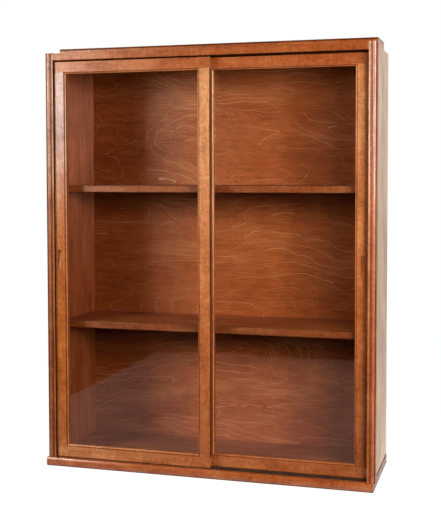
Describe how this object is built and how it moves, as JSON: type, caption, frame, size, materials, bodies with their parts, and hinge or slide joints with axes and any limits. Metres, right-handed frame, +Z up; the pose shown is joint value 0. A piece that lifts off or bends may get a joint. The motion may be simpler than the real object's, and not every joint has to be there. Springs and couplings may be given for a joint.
{
  "type": "bookcase with sliding doors",
  "caption": "Low-depth wooden bookcase with fluted front posts, two shelves and two glazed sliding doors.",
  "frame": {"origin": "middle of the underside of the base board, under the middle of the object's box", "axes": "+X to the right of a person facing the doors, +Y from the doors towards the back panel, +Z up"},
  "size_m": [0.944, 0.304, 1.202],
  "materials": {
    "stained_birch": "red-brown stained solid birch under satin lacquer",
    "birch_panel": "red-brown stained birch veneer under satin lacquer",
    "birch_plywood": "stained rotary-cut birch plywood with a wild, wavy figure, satin",
    "clear_glass": "clear float glass",
    "dark_plastic": "dark brown extruded plastic, satin",
    "bright_steel": "zinc-plated steel"
  },
  "bodies": {
    "carcass": {"base_board": "stained_birch", "left_post": "stained_birch", "right_post": "stained_birch", "left_side_panel": "birch_panel", "right_side_panel": "birch_panel", "top_board": "birch_panel", "front_upper_channel": "dark_plastic", "rear_upper_channel": "dark_plastic", "front_rail": "stained_birch", "crown_board": "stained_birch", "interior_floor": "birch_panel", "back_panel": "birch_plywood", "upper_shelf_board": "birch_panel", "upper_shelf_lipping": "stained_birch", "lower_shelf_board": "birch_panel", "lower_shelf_lipping": "stained_birch", "lower_track": "dark_plastic", "back_screw_left_1": "bright_steel", "back_screw_left_2": "bright_steel", "back_screw_left_3": "bright_steel", "back_screw_right_1": "bright_steel", "back_screw_right_2": "bright_steel", "back_screw_right_3": "bright_steel", "back_screw_top_1": "bright_steel", "back_screw_top_2": "bright_steel", "back_screw_top_3": "bright_steel", "back_screw_top_4": "bright_steel", "upper_shelf_pin_left_front": "bright_steel", "upper_shelf_pin_left_rear": "bright_steel", "upper_shelf_pin_right_front": "bright_steel", "upper_shelf_pin_right_rear": "bright_steel", "lower_shelf_pin_left_front": "bright_steel", "lower_shelf_pin_left_rear": "bright_steel", "lower_shelf_pin_right_front": "bright_steel", "lower_shelf_pin_right_rear": "bright_steel"},
    "left_door": {"left_door_top_rail": "stained_birch", "left_door_bottom_rail": "stained_birch", "left_door_outer_stile": "stained_birch", "left_door_inner_stile": "stained_birch", "left_door_glazing_bead_bottom": "stained_birch", "left_door_glazing_bead_top": "stained_birch", "left_door_glazing_bead_left": "stained_birch", "left_door_glazing_bead_right": "stained_birch", "left_door_glass": "clear_glass", "left_door_glide_left": "dark_plastic", "left_door_glide_right": "dark_plastic"},
    "right_door": {"right_door_top_rail": "stained_birch", "right_door_bottom_rail": "stained_birch", "right_door_outer_stile": "stained_birch", "right_door_inner_stile": "stained_birch", "right_door_glazing_bead_bottom": "stained_birch", "right_door_glazing_bead_top": "stained_birch", "right_door_glazing_bead_left": "stained_birch", "right_door_glazing_bead_right": "stained_birch", "right_door_glass": "clear_glass", "right_door_glide_left": "dark_plastic", "right_door_glide_right": "dark_plastic"}
  },
  "joints": [
    {"name": "left_door_slide", "type": "slide", "parent": "carcass", "child": "left_door", "axis": [1, 0, 0], "range_m": [0, 0.433]},
    {"name": "right_door_slide", "type": "slide", "parent": "carcass", "child": "right_door", "axis": [-1, 0, 0], "range_m": [-0.003, 0.43]}
  ]
}
